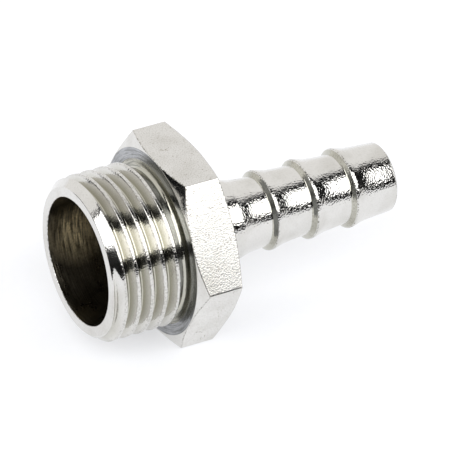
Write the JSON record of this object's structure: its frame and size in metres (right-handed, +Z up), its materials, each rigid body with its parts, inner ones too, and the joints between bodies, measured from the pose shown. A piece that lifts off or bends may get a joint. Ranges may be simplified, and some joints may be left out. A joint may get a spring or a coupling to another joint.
{
  "type": "hose barb tail",
  "caption": "One-piece plated brass hose tail with a parallel male pipe thread, a spanner hexagon and a barbed spigot on a stepped bore.",
  "frame": {"origin": "on the axis, in the face of the hexagon beside the thread", "axes": "+X along the axis from the threaded end to the barbed end, +Z up, square to the hexagon flat that the piece lies on"},
  "size_m": [0.0426, 0.0278, 0.024],
  "materials": {
    "plated_brass": "bright nickel plate over turned and drawn brass"
  },
  "bodies": {
    "root": {"hose_tail": "plated_brass"}
  },
  "joints": []
}
